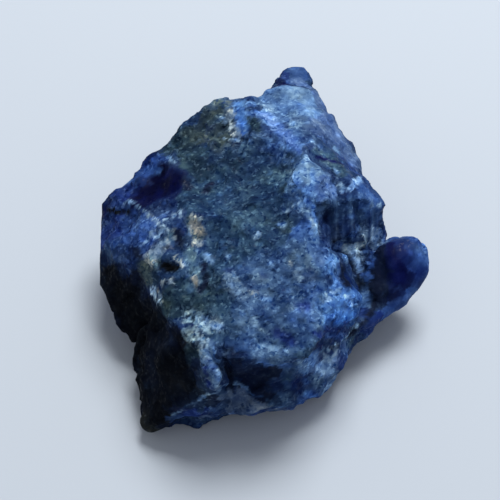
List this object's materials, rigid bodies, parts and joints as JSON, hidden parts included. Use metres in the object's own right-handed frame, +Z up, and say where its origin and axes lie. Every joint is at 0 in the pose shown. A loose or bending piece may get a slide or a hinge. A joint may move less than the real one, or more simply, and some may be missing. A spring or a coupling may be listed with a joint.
{
  "type": "raw sodalite stone",
  "caption": "Rough broken lump of raw blue sodalite with a broad chipped plateau, steep flanks, hollows and a rounded lobe, resting on its flat underside.",
  "frame": {"origin": "on the surface that the stone rests on, under the middle of its box", "axes": "+Z up; +Y along the stone towards its blunt tip; +X towards the rounded lobe"},
  "size_m": [0.0348, 0.0422, 0.0164],
  "materials": {
    "sodalite": "matte"
  },
  "bodies": {
    "root": {"sodalite_stone": "sodalite"}
  },
  "joints": []
}
